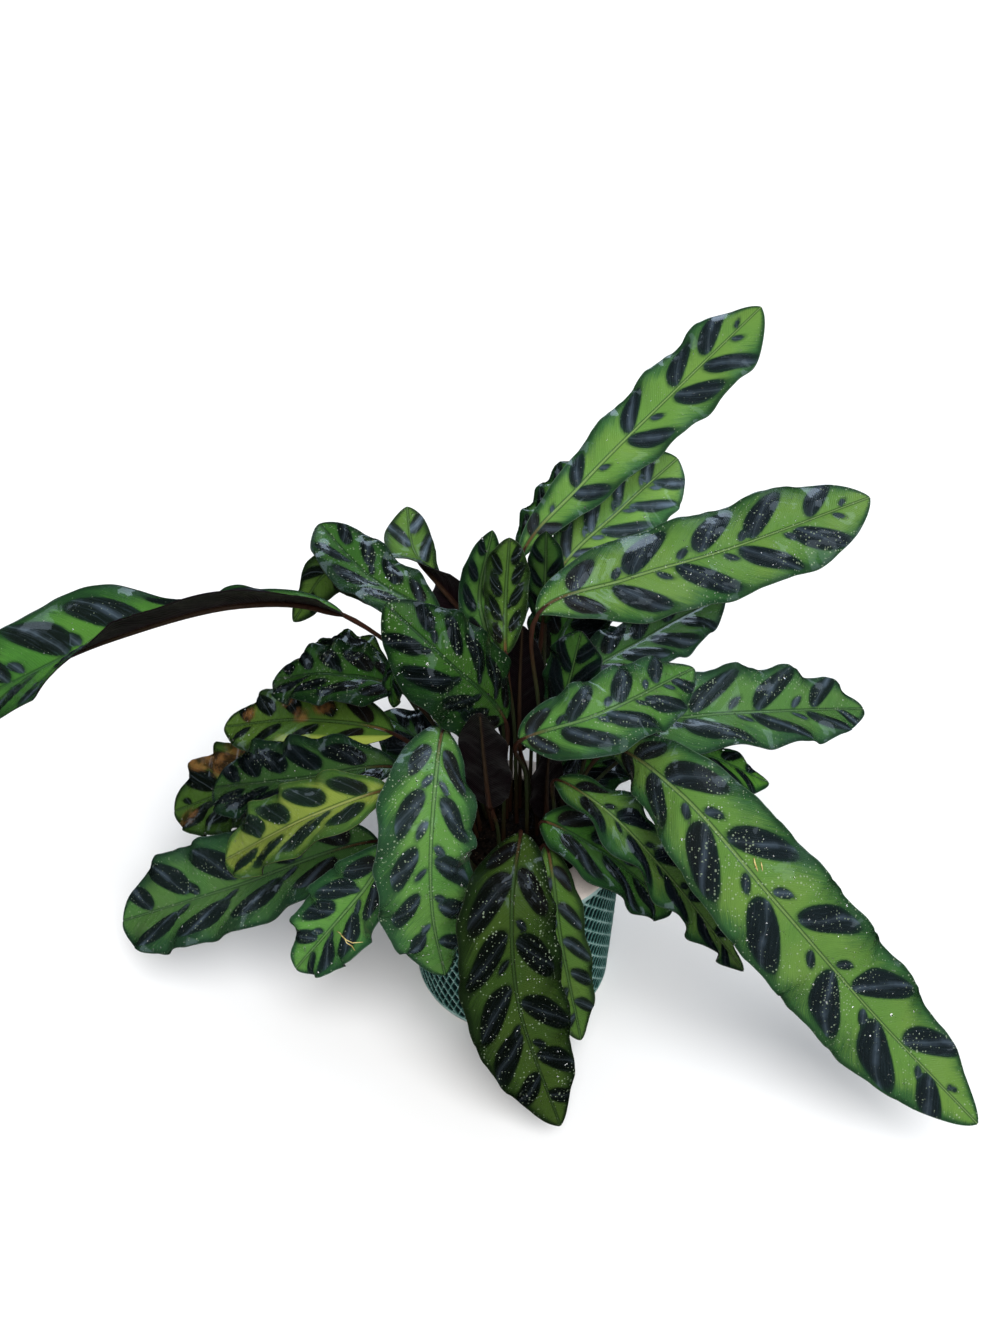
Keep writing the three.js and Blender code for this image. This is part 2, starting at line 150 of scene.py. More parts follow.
# Dry bits that lie on leaves: the leaf, half the bit's thickness, and the path of its middle as shares of the
# blade and shares out to the edge, negative to the left.
DRY_BITS = (
    ("left_front_small", 0.34, "0.555 -0.2, 0.535 -0.3, 0.52 -0.42, 0.505 -0.56, 0.49 -0.72, 0.455 -0.86"),
    ("left_front_small", 0.28, "0.51 -0.5, 0.512 -0.62, 0.5 -0.76, 0.5 -0.9"),
    ("front_right_big", 0.42, "0.368 -0.2, 0.374 -0.16, 0.381 -0.13, 0.388 -0.1"),
    ("front_right_big", 0.36, "0.38 -0.25, 0.386 -0.21, 0.392 -0.17"),
)
BIT_TAPER = ((0, 0.3, 0.8, 1), (0.5, 1, 0.9, 0.3))


# Each row: a leaf's name, its finish, its blade's width, how many drops it carries, its foot on the soil,
# the points that its blade follows, and in percent of the blade the marks left and right of its midrib, with
# the small dots after them. Then comes what isn't usual. roll, fold, shape, wave and phase shape the blade as
# in the CAD. tone: how much lighter or darker it is than others of its finish, partly its own
# colour and partly painted light and shade for where the leaf sits in the plant's light or shade. bold and
# long:
# how much broader its marks are than usual, and how much longer on its left and right. misted: how much
# painted sheen, a grey-blue painted reflection, lies on its marks and faintly on its green. scars: brown
# patches as (share, reach to the side, size). pale: a yellow band without marks, as (how far out it begins,
# negative on the left, and the share of the blade at which it ends).
def row(name, finish, width, wet, foot, blade, marks="20 45 70, 32 58 82", roll=0, fold=-6, shape=(0.35, 0.6),
        wave=(3, 4), phase=0, tone=0, bold=1, long=(1, 1), misted=0, scars=(), pale=()):
    blade = table(blade)
    marks, dots = table(marks)[:2], table(marks)[2:]
    return locals()


LEAVES = [
    row("tall_right", "bright", 44, 140, (4, 32), "3 62 262, 38 90 294, 90 125 333, 137 150 371",
        "10 30 53 72 85, 12 28 51 70 82, 17 92, 36 57 89", roll=(-42, -14), fold=-12, shape=(0.8, 0.82),
        wave=(4, 5), tone=-0.04, bold=1.05, misted=0.4),
    row("back_right", "bright", 47, 180, (14, 26), "24 85 233, 64 117 262, 98 147 278",
        "20 41 63 84, 24 46 67 86, 30 52 74, 33 56 77", roll=(-20, -38), fold=0, shape=(0.5, 0.75),
        wave=(3, 5), phase=1, tone=0.25, bold=0.72, misted=0.9),
    row("right_upper", "bright", 56, 520, (14, 8), "12 18 256, 62 50 257, 120 75 260, 207 115 270",
        "15 34 54 69 86, 12 28 47 65 81, 25 44 62 92, 37 56 74 89", roll=-28, fold=-8, shape=(0.4, 0.75),
        phase=2, tone=-0.2, misted=0.3),
    row("right_under", "bluish", 44, 200, (24, 12), "36 39 190, 80 74 200, 128 107 206",
        "14 33 52 71 87, 20 39 58 77", roll=-8, fold=-10, misted=0.5),
    row("right_middle", "middle", 44, 400, (8, -4), "2 -37 215, 40 -37 232, 99 24 215",
        "10 30 54 78, 10 27 46 67 87, 20 42 66, 36 56 77", roll=-20, tone=-0.12, misted=0.4),
    row("right_long", "bluish", 55, 320, (32, 0), "49 22 170, 101 17 186, 159 34 176, 213 67 150",
        "14 36 57 78, 13 34 55 75 89, 25 43 66, 24 45 65", roll=(-18, -22), fold=16, shape=(0.35, 0.5),
        wave=(4, 5), tone=-0.05, misted=0.5),
    row("front_right_big", "bright", 60, 700, (28, -10),
        "50 -18 192, 80 -76 216, 128 -114 176, 190 -124 97, 242 -152 50",
        "12 22 36 53 71 85, 8 19 32 47 65 79 91, 5 28 44 62 93, 25 39 56 73 87", roll=(-48, -26), fold=-12,
        shape=(0.5, 0.72), wave=(5, 7), tone=-0.2, bold=1.15, misted=0.45),
    row("right_small", "deep", 34, 80, (26, 6), "80 34 150, 112 27 148, 154 33 120", "20 42 64 84, 30 52 74",
        wave=(2, 3), tone=0.8),
    row("front_right_low", "bright", 40, 140, (22, -18), "22 -32 183, 47 -54 182, 75 -70 158, 126 -80 85",
        "12 30 48 66 83, 18 37 55 73 88, 21 39 58, 27 46", roll=2, fold=5, shape=(0.35, 0.45), wave=(4, 5),
        tone=-0.35),
    row("front_right_dark", "deep", 48, 120, (20, -28), "15 -29 149, 47 -45 142, 90 -43 94",
        "18 40 62 82, 26 50 72", roll=-10, fold=12, tone=0.25, misted=0.3),
    row("front", "olive", 57, 340, (0, -36), "3 -53 165, -2 -96 160, 1 -117 108, 25 -134 20",
        "20 40 60 77 90, 10 23 38 54 69 83, 30 69, 41 62", roll=6, fold=-12, shape=(0.4, 0.55), wave=(3, 5),
        tone=-0.5, misted=0.15),
    row("front_narrow", "olive", 32, 80, (10, -37), "17 -43 145, 25 -76 106, 38 -89 35",
        "15 32 48 64 80, 20 38 56 72 87", wave=(2, 4), tone=0.1, misted=0.3),
    row("front_left", "middle", 55, 520, (-26, -30), "-37 -27 216, -42 -83 197, -43 -92 148, -38 -87 90",
        "16 33 52 70 85, 15 31 47 63 79, 23 43 62, 22 36 50 73", roll=25, fold=-16, wave=(4, 5), tone=-0.03,
        bold=0.95, long=(0.9, 0.62), misted=0.55),
    row("left_front_small", "middle", 46, 260, (-18, -32), "-61 -61 162, -82 -71 137, -123 -68 72",
        "25 48 70 86, 20 38 56 78, 36 62, 32 68", roll=40, fold=12, shape=(0.45, 0.5), wave=(4, 4), tone=0.2,
        bold=1.15, long=(0.75, 0.75), misted=0.2),
    row("left_low", "bluish", 66, 280, (-22, -20), "-76 -30 135, -165 -23 89, -242 -2 36",
        "18 38 58 78, 14 34 55 75 90, 28 50 70, 26 47 66", roll=28, fold=16, shape=(0.4, 0.7), wave=(3, 5),
        tone=-0.15, bold=1.1, long=(0.7, 0.95), misted=0.45),
    row("left_yellow", "yellow", 43, 220, (-30, -8), "-64 -57 200, -102 -65 190, -157 -49 140",
        "20 40 61 80, 17 38 58 76, 30, 73", roll=20, fold=12, shape=(0.4, 0.7), tone=-0.15, bold=1.2,
        long=(0.75, 0.9)),
    row("left_dark", "bluish", 50, 220, (-22, -2), "-65 -10 172, -117 -19 172, -173 8 140",
        "14 30 48 66 82, 22 42 60 76 90, 40, 84", roll=14, fold=14, shape=(0.45, 0.7), tone=-0.6, bold=1.1,
        long=(0.75, 0.8), misted=0.15),
    row("left_brown_edge", "olive", 60, 120, (-28, 2), "-76 20 146, -164 40 110, -214 51 79",
        "20 36 52 68 85, 16 34 50 67 83, 76, 92", roll=32, fold=14, shape=(0.4, 0.7), wave=(5, 7), tone=0.05,
        bold=1.05, long=(0.75, 0.85), scars=((0.7, 0.55, 7), (0.9, -0.5, 6), (0.62, 0.85, 6), (0.8, 0.9, 7))),
    row("left_spotted", "olive", 44, 180, (-28, 10), "-68 16 174, -118 35 168, -180 76 128",
        "18 40 62 82, 16 34 53 70 85", roll=28, fold=6, tone=0.3, long=(0.8, 0.85),
        scars=((0.34, 0.4, 5), (0.55, 0.6, 5), (0.82, 0.42, 5), (0.45, 0.1, 4)), pale=(-0.45, 0.55)),
    row("left_upper", "deep", 44, 360, (-22, 6), "-64 24 200, -101 31 205, -141 58 180",
        "14 34 53 74, 10 29 50 71 88, 24 63, 40", roll=15, fold=6, tone=-0.35, bold=0.95, long=(0.7, 0.75),
        misted=0.15),
    row("left_olive", "olive", 46, 60, (-28, 20), "-78 87 162, -110 100 170, -146 114 144",
        "20 42 64 84, 30 52 74", tone=0.1, pale=(-0.3, 0.9)),
    row("left_long", "deep", 66, 160, (-12, 12),
        "-89 5 265, -133 -30 297, -192 -50 291, -254 -46 257, -284 -37 241",
        "12 30 47 63 78 90, 20 38 55 70 85, 22 55 85, 46 63 78", roll=(-8, -38, -33, -24, 10, 22, 24),
        fold=(12, 11, 7, 25, 17, 30, 30), shape=(0.45, 0.6), wave=(3, 3), phase=1.5, tone=0.45, misted=0.3),
    row("upper_left", "deep", 41, 420, (-12, 24), "-40 15 253, -79 40 266, -107 68 281",
        "15 36 57 78, 22 44 66 86, 46 70, 55", fold=6, shape=(0.45, 0.7), wave=(2, 3), tone=-0.25, bold=0.95,
        long=(0.62, 0.68), misted=0.25),
    row("centre_left", "deep", 54, 700, (-6, 0), "-5 -4 200, -35 -29 262, -65 -13 285",
        "12 28 45 64 82, 14 31 49 67 84, 36 55 74, 23 41 75", roll=48, fold=-10, tone=-0.4, bold=0.92,
        long=(0.66, 0.64), misted=0.1),
    row("back_olive", "olive", 36, 70, (-18, 30), "-25 50 226, -42 62 246, -57 80 256, -61 98 274",
        "50 80, 40 68 88", roll=(-130, -100, -10, 20), shape=(0.5, 0.6), wave=(3, 2), tone=0.5, misted=0.5),
    row("back_left", "olive", 26, 20, (-22, 30), "-65 60 229, -103 80 243, -129 75 210", "20 50 80, 35 65",
        roll=60, wave=(2, 3)),
    row("back_middle", "deep", 30, 20, (-2, 28), "5 85 250, 22 110 267, 44 142 284", shape=(0.4, 0.65)),
    row("back_low_left", "bluish", 46, 30, (-12, 30), "-46 84 148, -76 122 142, -104 158 104",
        "14 32 50 68 85, 20 40 60 78", roll=-10, shape=(0.4, 0.65)),
    row("back_low_middle", "middle", 50, 40, (-6, 38), "-8 84 182, -10 122 188, -18 168 150, -22 190 108",
        "12 28 45 62 80, 16 34 52 70 87, 20 37 54, 25 43 62", fold=8, shape=(0.4, 0.65), wave=(4, 5),
        phase=1),
    row("back_low_right", "bluish", 46, 30, (20, 32), "48 86 160, 78 122 164, 110 160 128",
        "14 32 50 68 85, 20 40 60 78", roll=10, shape=(0.4, 0.65), phase=2),
    row("back_inner", "deep", 50, 40, (15, 36), "22 74 178, 40 106 200, 62 142 194",
        "16 36 56 76, 26 46 66 84", shape=(0.3, 0.65), phase=1),
    row("upright_left", "middle", 23, 100, (-4, 22), "-13 15 235, -19 32 257, -12 44 292",
        "20 42 64 84, 30 54 76", shape=(0.35, 0.5), wave=(3, 3), phase=1, tone=-0.45, bold=1.3,
        long=(0.75, 0.75)),
    row("upright_right", "olive", 24, 160, (2, 18), "-5 10 235, -5 25 260, -3 32 295",
        "18 38 58 76, 28 50 70 86, 31, 42", shape=(0.5, 0.7), wave=(4, 3), phase=3, tone=0.2, bold=1.3,
        long=(0.75, 0.75)),
    row("centre_dark", "middle", 21, 30, (10, 38), "16 50 226, 17 53 254, 17 56 284", "25 50 75, 35 62",
        wave=(2, 3), tone=-0.65),
    row("centre_right", "middle", 36, 60, (20, 20), "25 9 190, 31 15 218, 36 22 242", wave=(2, 3),
        tone=-0.55),
    row("centre_tall", "underside", 28, 0, (10, 31), "4 28 150, 3 28 195, 4 27 242", wave=(1, 3), tone=-0.5),
    row("centre_short", "underside", 20, 0, (18, -1), "18 -2 125, 18 -2 150, 19 -4 180", wave=(1, 3),
        tone=-0.5),
    row("centre_low", "deep", 42, 40, (30, 22), "28 26 118, 48 36 132, 74 50 128", "18 42 66, 26 50 74",
        wave=(2, 3)),
    row("centre_shadow", "underside", 28, 0, (-8, -16), "-13 -24 155, -16 -33 197, -18 -42 238", wave=(2, 3),
        tone=-0.5),
    row("left_shadow", "deep", 44, 30, (-16, 22), "-40 24 140, -58 34 156, -78 46 164", wave=(2, 3),
        tone=-0.2),
    row("left_inner", "deep", 16, 20, (-20, 12), "-57 22 226, -66 16 218, -67 12 197", "30 60, 45 80",
        wave=(1, 3), tone=-0.2),
]


# Shader nodes.
def linear(tint):
    """A colour written as #rrggbb, as the numbers a shader takes."""
    parts = [int(tint[i:i + 2], 16) / 255 for i in (1, 3, 5)]
    return [p / 12.92 if p <= 0.04045 else ((p + 0.055) / 1.055) ** 2.4 for p in parts] + [1]


class Nodes:
    """A node tree, with the few kinds of node that the looks are made of."""

    def __init__(self, tree):
        self.tree = tree

    def feed(self, socket, value):
        """Links a socket into another, or sets it to a plain value or a #rrggbb colour."""
        if isinstance(value, bpy.types.NodeSocket):
            self.tree.links.new(value, socket)
        else:
            socket.default_value = linear(value) if isinstance(value, str) else value

    def place(self, kind, inputs=(), **settings):
        node = self.tree.nodes.new("ShaderNode" + kind)
        for name, value in settings.items():
            setattr(node, name, value)
        for name, value in dict(inputs).items():
            self.feed(node.inputs[name], value)
        return node

    def maths(self, operation, first, second=0):
        return self.place("Math", {0: first, 1: second}, operation=operation).outputs[0]

    def plus(self, first, second):
        return self.maths("ADD", first, second)

    def times(self, first, second):
        return self.maths("MULTIPLY", first, second)

    def size(self, value):
        return self.maths("ABSOLUTE", value)

    def fade(self, value, start, end, low=0, high=1):
        """Goes smoothly from low to high as value goes from start to end."""
        numbers = dict(enumerate((value, start, end, low, high)))
        return self.place("MapRange", numbers, interpolation_type="SMOOTHSTEP").outputs[0]

    def blend(self, share, low, high):
        """Colour that goes from low to high as share goes from 0 to 1."""
        return self.place("Mix", {0: share, 6: low, 7: high}, data_type="RGBA").outputs[2]

    def toward(self, color, tint, value, start, end, most=1):
        """Turns a colour into a tint, by at most so much, as value goes from start to end."""
        return self.blend(self.fade(value, start, end, 0, most), color, tint)

    def recolor(self, color, **numbers):
        return self.place("HueSaturation", {"Color": color, **numbers}).outputs["Color"]

    def here(self):
        """The place on the plant, in metres."""
        return self.place("TexCoord").outputs["Object"]

    def grown(self, name):
        """A number that the mesh carries at each of its points."""
        return self.place("Attribute", attribute_type="GEOMETRY", attribute_name=name).outputs["Fac"]

    def cloud(self, scale, detail=2, vector=None):
        """Soft noise from 0 to 1; scale is in patches a metre."""
        vector = vector or self.here()
        return self.place("TexNoise", {"Vector": vector, "Scale": scale, "Detail": detail}).outputs["Fac"]

    def group(self, group, inputs=()):
        return self.place("Group", inputs, node_tree=group.tree).outputs


class Group(Nodes):
    """A node group with what it is given and what it results in, as (direction, kind, names)."""

    def __init__(self, name, *sockets):
        super().__init__(bpy.data.node_groups.new(name, "ShaderNodeTree"))
        for in_out, kind, *labels in sockets:
            for label in labels:
                self.tree.interface.new_socket(label, in_out=in_out, socket_type="NodeSocket" + kind)
        self.given = self.tree.nodes.new("NodeGroupInput").outputs
        self.result = self.tree.nodes.new("NodeGroupOutput").inputs


class Look(Nodes):
    """A material with one Principled shader; the numbers given are set on the shader's own sockets."""

    def __init__(self, name, **numbers):
        self.material = bpy.data.materials.new(name)
        self.material.use_nodes = True
        super().__init__(self.material.node_tree)
        self.inputs = self.tree.nodes["Principled BSDF"].inputs
        for label, value in numbers.items():
            self.feed(self.inputs[label.replace("_", " ")], value)

    def finish(self, color, roughness, height=None):
        """The material with its colour and roughness, and its surface raised by height, in millimetres."""
        self.feed(self.inputs["Base Color"], color)
        self.feed(self.inputs["Roughness"], roughness)
        if height is not None:
            bump = self.place("Bump", {"Height": height, "Strength": 1, "Distance": MM})
            self.feed(self.inputs["Normal"], bump.outputs["Normal"])
        return self.material


def vein_group():
    """Fine side veins: a height that ripples across them and streaks of colour that run along them."""
    g = Group("Side veins", ("OUTPUT", "Float", "Height", "Streaks"))
    vein = g.grown("vein")
    reach = g.size(g.grown("across"))
    along_vein = g.place("CombineXYZ", {"X": vein, "Y": g.times(reach, 0.12)}).outputs[0]
    streaks = g.cloud(0.9, 3, along_vein)
    wander = g.cloud(0.25, 1, along_vein)
    turn = g.plus(g.times(vein, 4.2), g.times(wander, 3))
    ripple = g.times(g.maths("SINE", turn), 0.5)
    g.feed(g.result["Height"], g.plus(ripple, g.times(streaks, 0.8)))
    g.feed(g.result["Streaks"], streaks)
    return g


def dew_group():
    """Very fine drops of water: round spots scattered at random over the surface."""
    g = Group("Fine dew", ("OUTPUT", "Float", "Drops", "Height"), ("INPUT", "Float", "Amount"))
    cells = g.place("TexVoronoi", {"Vector": g.here(), "Scale": 620, "Randomness": 1}, feature="F1")
    size = g.place("SeparateColor", {"Color": cells.outputs["Color"]}).outputs[0]
    patches = g.fade(g.cloud(45), 0.35, 0.65, 0.35, 1)
    limit = g.times(g.times(size, 0.34), g.times(patches, g.given["Amount"]))
    inside = g.maths("SUBTRACT", limit, cells.outputs["Distance"])
    g.feed(g.result["Drops"], g.fade(inside, 0, 0.05))
    g.feed(g.result["Height"], g.fade(inside, 0, 0.16))
    return g


def leaf_pattern_group(veins):
    """The painted look of a leaf's upper side, from the distances that its mesh carries, in millimetres."""
    outputs = ("OUTPUT", "Color", "Color"), ("OUTPUT", "Float", "Height", "Marks")
    g = Group("Leaf pattern", *outputs, ("INPUT", "Color", *TINT_LABELS))
    light, dark, margin_tint, mark_tint, midrib_tint, edge_tint = (g.given[label] for label in TINT_LABELS)
    lines = g.group(veins)
    streaks = lines["Streaks"]
    off_middle = g.plus(streaks, -0.5)
    edge_gap, share, pale, misted = (g.grown(name) for name in ("edge_gap", "share", "pale", "misted"))
    reach = g.size(g.grown("across"))

    patches = g.cloud(38, 3)
    uneven = g.plus(g.times(streaks, 0.45), g.times(patches, 0.55))
    toward_edge = g.fade(g.grown("outward"), 0.3, 1, -0.14, 0.2)
    warmer = g.recolor(light, Hue=0.488, Value=1.08)
    color = g.toward(light, warmer, g.cloud(26, 2), 0.42, 0.62)
    color = g.toward(color, dark, g.plus(uneven, toward_edge), 0.36, 0.76)

    ragged = g.times(off_middle, 5)
    margin = g.fade(g.plus(edge_gap, ragged), 4, 0.8, 0, 0.85)
    trail = g.plus(g.grown("trail"), g.times(ragged, 0.1))
    margin = g.maths("MAXIMUM", margin, g.fade(trail, 0.15, 0.75, 0, 0.6))
    color = g.blend(margin, color, margin_tint)
    color = g.blend(pale, color, g.blend(uneven, "#a3a83c", "#6c8a2e"))

    feathered = g.plus(g.plus(g.grown("mark_gap"), g.times(off_middle, 1.1)), g.times(pale, 9))
    color = g.toward(color, margin_tint, feathered, 1.6, 0.1, 0.5)
    marks = g.fade(feathered, 0.4, -0.4)
    along_crease = g.size(g.grown("crease"))
    # Painted sheen on the marks: their streaks turn towards a blue-grey painted reflection.
    mark_color = g.toward(mark_tint, "#3b4a56", streaks, 0.48, 0.75, 0.2)
    mark_color = g.toward(mark_color, margin_tint, feathered, -2.2, -0.2, 0.4)
    # A painted highlight: a pale blue-grey line along the middle crease of each mark.
    mark_color = g.toward(mark_color, "#56646c", along_crease, 0.7, 0.1, 0.18)
    mark_color = g.toward(mark_color, "#17100c", g.plus(share, g.times(patches, 0.5)), 0.6, 0.3, 0.7)
    color = g.blend(marks, color, mark_color)

    rib_gap = g.maths("SUBTRACT", reach, g.fade(share, 0, 1, 0.8, 0.3))
    color = g.toward(color, margin_tint, rib_gap, 0.9, 0.2, 0.7)
    midrib = g.toward(midrib_tint, "#5a3d22", share, 0.18, 0.06)
    color = g.toward(color, midrib, rib_gap, 0.1, -0.2, 0.8)
    # A painted highlight along the rim of the blade, where light would catch its edge.
    color = g.toward(color, edge_tint, edge_gap, 0.45, 0.15, 0.5)

    rust = g.toward("#7d5526", "#33240f", g.cloud(160, 4), 0.35, 0.65)
    scar_gap = g.plus(g.grown("scar_gap"), g.times(ragged, 0.7))
    color = g.toward(color, rust, scar_gap, 2, -2, 0.75)

    # Painted sheen: a grey-blue painted reflection in patches along the middle of each mark, and a faint
    # grey-green painted sheen over the whole upper side, both as strong as the leaf's sheen amount.
    sheen = g.times(g.fade(along_crease, 3.2, 0.2), g.fade(g.cloud(70, 3), 0.4, 0.62, 0.2, 1))
    sheen = g.times(sheen, g.times(marks, misted))
    color = g.blend(g.times(misted, 0.03), color, "#8fb39a")
    color = g.blend(g.times(sheen, 0.4), color, "#7187a0")
    # The leaf's tone lightens or darkens its whole upper side: partly its own colour, partly painted light
    # and shade for where it sits in the plant.
    color = g.recolor(color, Saturation=0.94, Value=g.plus(g.grown("tone"), 1))
    g.feed(g.result["Color"], color)
    g.feed(g.result["Height"], g.plus(g.times(lines["Height"], 0.09), g.times(marks, 0.06)))
    g.feed(g.result["Marks"], marks)
    return g


# The colours of each finish of a leaf's upper side, in the order of their labels. Edge is a painted
# highlight, the pale line where light catches the rim of the blade.
TINT_LABELS = ("Light", "Dark", "Margin", "Mark", "Midrib", "Edge")
LEAF_TINTS = {
    "bright": ("#57832f", "#2b5a2a", "#14351e", "#0f171d", "#76964c", "#5f7a5e"),
    "yellow": ("#7d9032", "#4a7024", "#28481c", "#16241c", "#98a052", "#6c7a3c"),
    "middle": ("#477a2c", "#245026", "#112f1c", "#0e1719", "#5c8244", "#587060"),
    "bluish": ("#417030", "#22492a", "#102b1c", "#0c1516", "#4f7440", "#4f6658"),
    "deep": ("#2f6018", "#153a13", "#0a2310", "#050a09", "#2c5424", "#3c5040"),
    "olive": ("#3a5a18", "#1f370f", "#10200b", "#080e09", "#3c5a26", "#3e4c34"),
}


def leaf_top_material(name, tints, pattern, dew):
    m = Look("leaf_top_" + name, IOR=1.35, Coat_Weight=0.85, Coat_Roughness=0.07, Coat_IOR=1.45)
    painted = m.group(pattern, zip(TINT_LABELS, tints))
    drops = m.group(dew, {"Amount": m.grown("dewy")})
    # Painted glints: the fine dew drops are painted as pale dots, the light that the drops would catch.
    color = m.blend(m.times(drops["Drops"], 0.3), painted["Color"], "#c2d6b4")
    worn = m.fade(m.cloud(90, 3), 0.3, 0.7, 0.22, 0.34)
    dry = m.maths("SUBTRACT", worn, m.times(painted["Marks"], 0.06))
    wetted = m.times(dry, m.fade(drops["Drops"], 0, 1, 1, 0.25))
    return m.finish(color, wetted, m.plus(painted["Height"], m.times(drops["Height"], 0.3)))


def underside_material(veins):
    m = Look("leaf_underside", IOR=1.4, Sheen_Weight=0.05, Sheen_Roughness=0.4)
    lines = m.group(veins)
    color = m.toward("#190c12", "#0b0608", lines["Streaks"], 0.3, 0.75)
    color = m.toward(color, "#0e0b09", m.cloud(40), 0.45, 0.75, 0.5)
    color = m.toward(color, "#2a1a15", m.size(m.grown("across")), 1.6, 0.5)
    # Undersides take only the darkening part of the leaf's tone: painted shade, deepest on the undersides in
    # the plant's shaded middle.
    darker = m.maths("MINIMUM", m.grown("tone"), 0)
    color = m.recolor(color, Value=m.plus(darker, 1))
    roughness = m.fade(m.cloud(120), 0.3, 0.7, 0.38, 0.55)
    return m.finish(color, roughness, m.times(lines["Height"], 0.12))


def stalk_material():
    """Red-brown where the stalk leaves the soil and under the blade, duller green between."""
    m = Look("leaf_stalk", IOR=1.4, Coat_Weight=0.15, Coat_Roughness=0.25)
    share = m.grown("share")
    color = m.toward("#2a1710", "#26301a", share, -0.95, -0.5)
    color = m.toward(color, "#331d14", share, -0.35, -0.06)
    color = m.toward(color, "#2f2418", share, 0.02, 0.5)
    lengthwise = m.place("Mapping", {"Vector": m.here(), "Scale": (900, 900, 60)}).outputs[0]
    flecks = m.cloud(1, 2, lengthwise)
    color = m.toward(color, "#22160f", flecks, 0.45, 0.7, 0.6)
    return m.finish(color, m.fade(flecks, 0.3, 0.7, 0.34, 0.55), m.times(flecks, 0.15))


def glaze_material():
    """Sea-green glaze: pale where it runs thin over the raised lattice, nearly black where it pools."""
    m = Look("pot_glaze", IOR=1.5, Coat_Weight=0.6, Coat_Roughness=0.06)
    raised = m.grown("raised")
    thin = m.plus(raised, m.times(m.plus(m.cloud(160, 4), -0.5), 0.5))
    color = m.toward("#0b1b1b", "#3b665f", thin, 0.15, 0.6)
    color = m.toward(color, "#a6c4c0", thin, 0.6, 1.1)
    color = m.toward(color, "#1c3733", m.cloud(900), 0.62, 0.72, 0.5)
    return m.finish(color, m.fade(thin, 0.2, 1, 0.12, 0.32), m.times(m.cloud(260, 3), 0.25))


def noise_material(name, base, stains, roughness, bump=None, **numbers):
    """A material made of soft noise. stains: (tint, scale, detail, start, end, most); roughness: (scale, low,
    high); bump: (scale, detail, height).
    """
    m = Look(name, **numbers)
    for tint, scale, detail, start, end, most in stains:
        base = m.toward(base, tint, m.cloud(scale, detail), start, end, most)
    scale, low, high = roughness
    height = bump and m.times(m.cloud(*bump[:2]), bump[2])
    return m.finish(base, m.fade(m.cloud(scale), 0.3, 0.7, low, high), height)


def bisque_material():
    """The pot's smooth collar and foot: pale, pinkish-grey clay with a satin skin and a few ochre stains."""
    stains = ("#c8bdb5", 45, 4, 0.35, 0.7, 1), ("#a8935f", 18, 3, 0.55, 0.72, 0.5)
    stains += (("#5d5248", 1400, 2, 0.66, 0.74, 0.55),)
    shine = dict(IOR=1.45, Coat_Weight=0.2, Coat_Roughness=0.3)
    return noise_material("pot_collar", "#e2d8cf", stains, (300, 0.42, 0.6), (1400, 2, 0.12), **shine)


def soil_material():
    """Dark peat with brown bark fibres and a few pale grains."""
    m = Look("soil", IOR=1.35)
    color = m.toward("#070504", "#17100b", m.cloud(350, 5), 0.35, 0.7)
    color = m.toward(color, "#5f5342", m.cloud(900), 0.66, 0.74, 0.6)
    return m.finish(color, m.fade(m.cloud(60), 0.4, 0.6, 0.55, 0.95), m.times(m.cloud(700, 5), 0.9))


def water_material():
    return noise_material("water", "#ffffff", (), (300, 0.01, 0.05), IOR=1.33, Transmission_Weight=1)


def straw_material():
    stains = [("#a58d52", 500, 3, 0.35, 0.65, 1)]
    return noise_material("dry_straw", "#d9c88a", stains, (500, 0.5, 0.75), (900, 3, 0.15), IOR=1.4)


# Meshes. Lengths here are in millimetres; new_piece turns them into metres.
def in_scene(name, data):
    """A new object of the scene, from its mesh, light or camera."""
    thing = bpy.data.objects.new(name, data)
    bpy.context.scene.collection.objects.link(thing)
    return thing


def new_piece(name, points, faces, materials, slots=None, numbers=()):
    """A smooth mesh that rides on the plant. numbers: values for each point, by name."""
    mesh = bpy.data.meshes.new(name)
    mesh.from_pydata((np.asarray(points) * MM).tolist(), [], faces)
    for material in materials:
        mesh.materials.append(material)
    if slots is not None:
        mesh.polygons.foreach_set("material_index", np.asarray(slots, np.int32))
    mesh.polygons.foreach_set("use_smooth", np.ones(len(mesh.polygons), bool))
    for label, values in dict(numbers).items():
        mesh.attributes.new(label, "FLOAT", "POINT").data.foreach_set("value", np.asarray(values, np.float32))
    mesh.update()
    piece = in_scene(name, mesh)
    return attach(piece, "root")


def lerp(low, high, share):
    return low + (high - low) * share


def along_stops(stops, share):
    """The values at shares of the way through one stop or a list of evenly spaced stops."""
    stops = np.atleast_1d(stops)
    return np.interp(share, np.linspace(0, 1, len(stops)), stops)


def unit(vectors):
    return vectors / np.linalg.norm(vectors, axis=-1, keepdims=True)


def turns_of(corners):
    return np.linspace(0, FULL_TURN, corners, endpoint=False)


def ring_faces(rings, corners, inside_out=False):
    """Joins rings of points into a closed body, whose last two faces are its end caps."""
    index = np.arange(rings * corners).reshape(rings, corners)
    following = np.roll(index, -1, axis=1)
    quads = np.stack([index[:-1], following[:-1], following[1:], index[1:]], -1).reshape(-1, 4)
    caps = [index[0][::-1], index[-1]]
    if inside_out:
        quads, caps = quads[:, [0, 3, 2, 1]], [cap[::-1] for cap in caps]
    return quads.tolist() + [cap.tolist() for cap in caps]


def tube(centres, sides, normals, radii, corners):
    """A round tube about its centres, as points and faces."""
    sides, normals = (np.atleast_2d(vectors)[:, None] for vectors in (sides, normals))
    turns = turns_of(corners)[:, None]
    ring = sides * np.cos(turns) + normals * np.sin(turns)
    points = centres[:, None] + ring * radii[:, None, None]
    return points.reshape(-1, 3), ring_faces(len(centres), corners)


